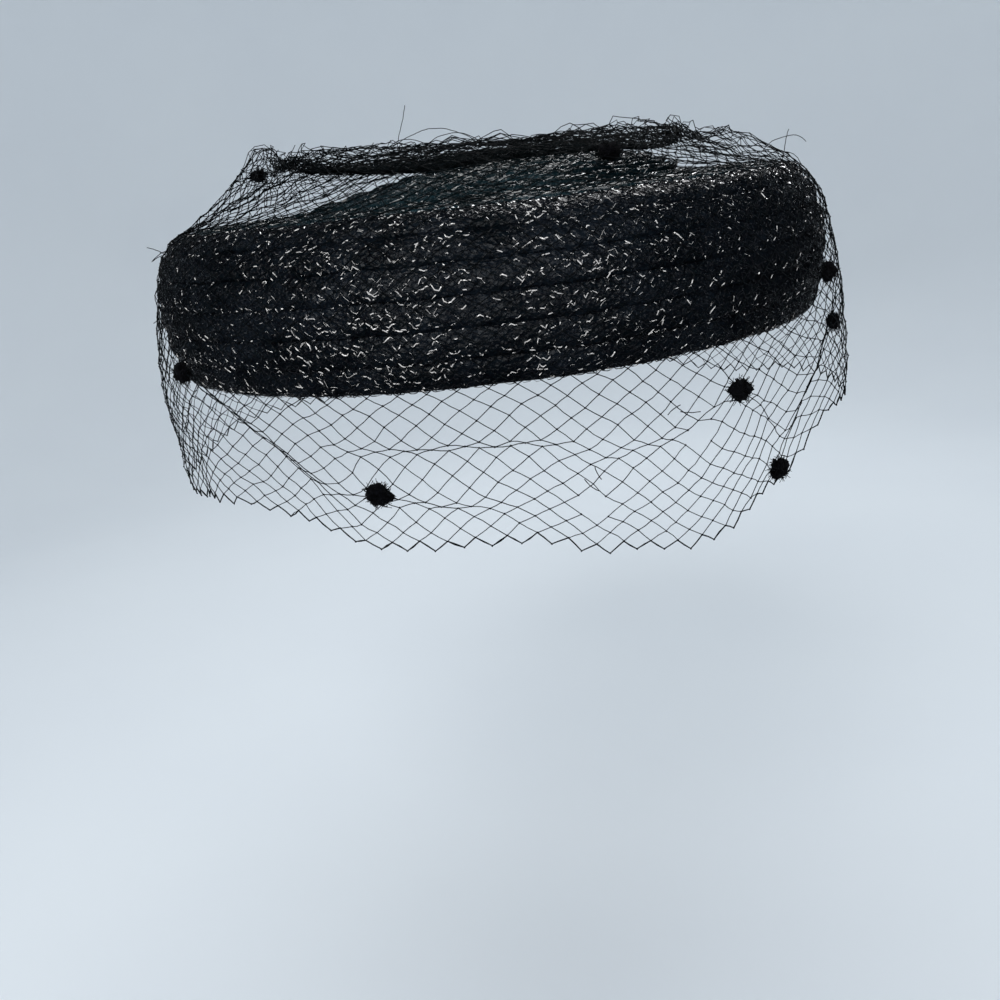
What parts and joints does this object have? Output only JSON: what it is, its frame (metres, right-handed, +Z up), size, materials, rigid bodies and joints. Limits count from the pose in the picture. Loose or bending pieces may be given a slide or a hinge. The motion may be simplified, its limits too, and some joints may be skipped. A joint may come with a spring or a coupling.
{
  "type": "pillbox hat with a dotted veil",
  "caption": "Wide black braid pillbox hat with a low stepped crown, covered by a dotted net veil that hangs below the rim.",
  "frame": {"origin": "centre of the head opening, in the plane of the hat's lower edge", "axes": "+Z up along the hat's own axis, -Y to the front, +X to the wearer's left"},
  "size_m": [0.2661, 0.266, 0.1348],
  "materials": {
    "straw": "crinkled glossy synthetic straw braid",
    "net": "fine nylon net",
    "chenille": "matt chenille pile"
  },
  "bodies": {
    "root": {"side_band": "straw", "crown_tip": "straw", "veil_gather": "net", "veil": "net", "dot_01": "chenille", "dot_02": "chenille", "dot_03": "chenille", "dot_04": "chenille", "dot_05": "chenille", "dot_06": "chenille", "dot_07": "chenille", "dot_08": "chenille", "dot_09": "chenille", "dot_10": "chenille", "dot_11": "chenille", "dot_12": "chenille", "dot_13": "chenille", "dot_14": "chenille", "dot_15": "chenille", "dot_16": "chenille"}
  },
  "joints": []
}
